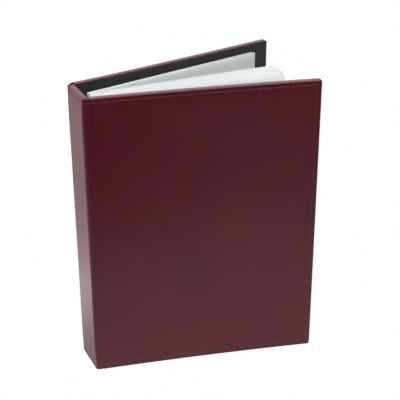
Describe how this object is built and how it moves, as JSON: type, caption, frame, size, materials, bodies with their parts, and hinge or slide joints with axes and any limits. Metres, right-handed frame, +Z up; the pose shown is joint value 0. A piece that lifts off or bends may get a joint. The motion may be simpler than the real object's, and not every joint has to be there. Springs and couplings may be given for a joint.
{
  "type": "coin album",
  "caption": "Padded leatherette ring binder for coins, standing slightly open, with clear pocket sheets on metal rings inside the spine.",
  "frame": {"origin": "middle of the spine's bottom edge: midway between the covers, at half the spine's thickness, in the plane that the album stands on", "axes": "+X from the spine towards the fore-edge, +Y from the front cover to the back cover, +Z up along the spine"},
  "size_m": [0.1991, 0.1113, 0.265],
  "materials": {
    "leatherette": "maroon, fine grain, soft satin",
    "lining": "charcoal, matt",
    "thread": "maroon sewing thread, matt",
    "foam_padding": "open foam sheet, matt",
    "greyboard": "raw bookbinder's board, matt",
    "nickel_steel": "bright nickel plate",
    "clear_film": "clear plastic film, faintly milky"
  },
  "bodies": {
    "spine": {"spine_leather": "leatherette", "spine_padding": "foam_padding", "spine_board": "greyboard", "spine_lining": "lining", "spine_top_stitching": "thread", "spine_bottom_stitching": "thread", "mechanism_shell": "nickel_steel", "lower_rivet": "nickel_steel", "upper_rivet": "nickel_steel", "sheet_01_margin": "clear_film", "sheet_02_margin": "clear_film", "sheet_03_margin": "clear_film", "sheet_04_margin": "clear_film", "sheet_05_margin": "clear_film", "sheet_06_margin": "clear_film", "sheet_07_margin": "clear_film", "sheet_08_margin": "clear_film", "sheet_09_margin": "clear_film", "sheet_10_margin": "clear_film"},
    "front_cover": {"front_leather": "leatherette", "front_padding": "foam_padding", "front_board": "greyboard", "front_lining": "lining", "front_stitching": "thread", "front_hinge_strip": "leatherette"},
    "back_cover": {"back_leather": "leatherette", "back_padding": "foam_padding", "back_board": "greyboard", "back_lining": "lining", "back_stitching": "thread", "back_hinge_strip": "leatherette"},
    "front_ring_set": {"front_blade": "nickel_steel", "ring_1_front_half": "nickel_steel", "ring_2_front_half": "nickel_steel", "ring_3_front_half": "nickel_steel", "ring_4_front_half": "nickel_steel"},
    "back_ring_set": {"back_blade": "nickel_steel", "ring_1_back_half": "nickel_steel", "ring_2_back_half": "nickel_steel", "ring_3_back_half": "nickel_steel", "ring_4_back_half": "nickel_steel"},
    "sheet_01": {"sheet_01_pockets": "clear_film"},
    "sheet_02": {"sheet_02_pockets": "clear_film"},
    "sheet_03": {"sheet_03_pockets": "clear_film"},
    "sheet_04": {"sheet_04_pockets": "clear_film"},
    "sheet_05": {"sheet_05_pockets": "clear_film"},
    "sheet_06": {"sheet_06_pockets": "clear_film"},
    "sheet_07": {"sheet_07_pockets": "clear_film"},
    "sheet_08": {"sheet_08_pockets": "clear_film"},
    "sheet_09": {"sheet_09_pockets": "clear_film"},
    "sheet_10": {"sheet_10_pockets": "clear_film"}
  },
  "joints": [
    {"name": "front_cover_hinge", "type": "hinge", "parent": "spine", "child": "front_cover", "pos_m": [-0.0029, -0.0178, 0], "axis": [0, 0, -1], "range_deg": [-13.5, 76.5]},
    {"name": "back_cover_hinge", "type": "hinge", "parent": "spine", "child": "back_cover", "pos_m": [-0.0029, 0.0178, 0], "axis": [0, 0, 1], "range_deg": [-8.4, 81.6]},
    {"name": "front_ring_opening", "type": "hinge", "parent": "spine", "child": "front_ring_set", "pos_m": [0.00355, -0.009, 0], "axis": [0, 0, -1], "range_deg": [0, 10]},
    {"name": "back_ring_opening", "type": "hinge", "parent": "spine", "child": "back_ring_set", "pos_m": [0.00355, 0.009, 0], "axis": [0, 0, 1], "range_deg": [0, 10.1]},
    {"name": "sheet_01_turn", "type": "hinge", "parent": "spine", "child": "sheet_01", "pos_m": [0.02201, -0.0069, 0.13343], "axis": [-0.0086, 0.0016, -1], "range_deg": [-9.9, 55.7]},
    {"name": "sheet_02_turn", "type": "hinge", "parent": "spine", "child": "sheet_02", "pos_m": [0.02291, -0.00562, 0.13343], "axis": [-0.0086, 0.0014, -1], "range_deg": [-8.5, 47.5]},
    {"name": "sheet_03_turn", "type": "hinge", "parent": "spine", "child": "sheet_03", "pos_m": [0.02359, -0.00427, 0.13343], "axis": [-0.0087, 0.0011, -1], "range_deg": [-7, 39.2]},
    {"name": "sheet_04_turn", "type": "hinge", "parent": "spine", "child": "sheet_04", "pos_m": [0.02405, -0.00288, 0.13343], "axis": [-0.0087, 0.0008, -1], "range_deg": [-5.6, 31]},
    {"name": "sheet_05_turn", "type": "hinge", "parent": "spine", "child": "sheet_05", "pos_m": [0.02432, -0.00145, 0.13343], "axis": [-0.0087, 0.0006, -1], "range_deg": [-4.2, 22.8]},
    {"name": "sheet_06_turn", "type": "hinge", "parent": "spine", "child": "sheet_06", "pos_m": [0.02439, 0, 0.13343], "axis": [-0.0087, 0.0003, -1], "range_deg": [-2.7, 14.6]},
    {"name": "sheet_07_turn", "type": "hinge", "parent": "spine", "child": "sheet_07", "pos_m": [0.02427, 0.00145, 0.13343], "axis": [-0.0087, 0, -1], "range_deg": [-1.3, 6.4]},
    {"name": "sheet_08_turn", "type": "hinge", "parent": "spine", "child": "sheet_08", "pos_m": [0.0249, 0.00529, 0.13343], "axis": [0.0086, 0.0015, 1], "range_deg": [-8.7, 82.7]},
    {"name": "sheet_09_turn", "type": "hinge", "parent": "spine", "child": "sheet_09", "pos_m": [0.02434, 0.00621, 0.13343], "axis": [0.0086, 0.0015, 1], "range_deg": [-8.8, 84.3]},
    {"name": "sheet_10_turn", "type": "hinge", "parent": "spine", "child": "sheet_10", "pos_m": [0.02363, 0.0071, 0.13343], "axis": [0.0086, 0.0016, 1], "range_deg": [-9, 85.8]}
  ],
  "couplings": [
    {"joint": "back_ring_opening", "follows": "front_ring_opening", "ratio": 1},
    {"joint": "sheet_01_turn", "follows": "front_cover_hinge", "ratio": 0.7259},
    {"joint": "sheet_02_turn", "follows": "front_cover_hinge", "ratio": 0.6185},
    {"joint": "sheet_03_turn", "follows": "front_cover_hinge", "ratio": 0.5111},
    {"joint": "sheet_04_turn", "follows": "front_cover_hinge", "ratio": 0.4037},
    {"joint": "sheet_05_turn", "follows": "front_cover_hinge", "ratio": 0.2963},
    {"joint": "sheet_06_turn", "follows": "front_cover_hinge", "ratio": 0.1889},
    {"joint": "sheet_07_turn", "follows": "front_cover_hinge", "ratio": 0.0815},
    {"joint": "sheet_08_turn", "follows": "back_cover_hinge", "ratio": 1.012},
    {"joint": "sheet_09_turn", "follows": "back_cover_hinge", "ratio": 1.031},
    {"joint": "sheet_10_turn", "follows": "back_cover_hinge", "ratio": 1.05}
  ]
}
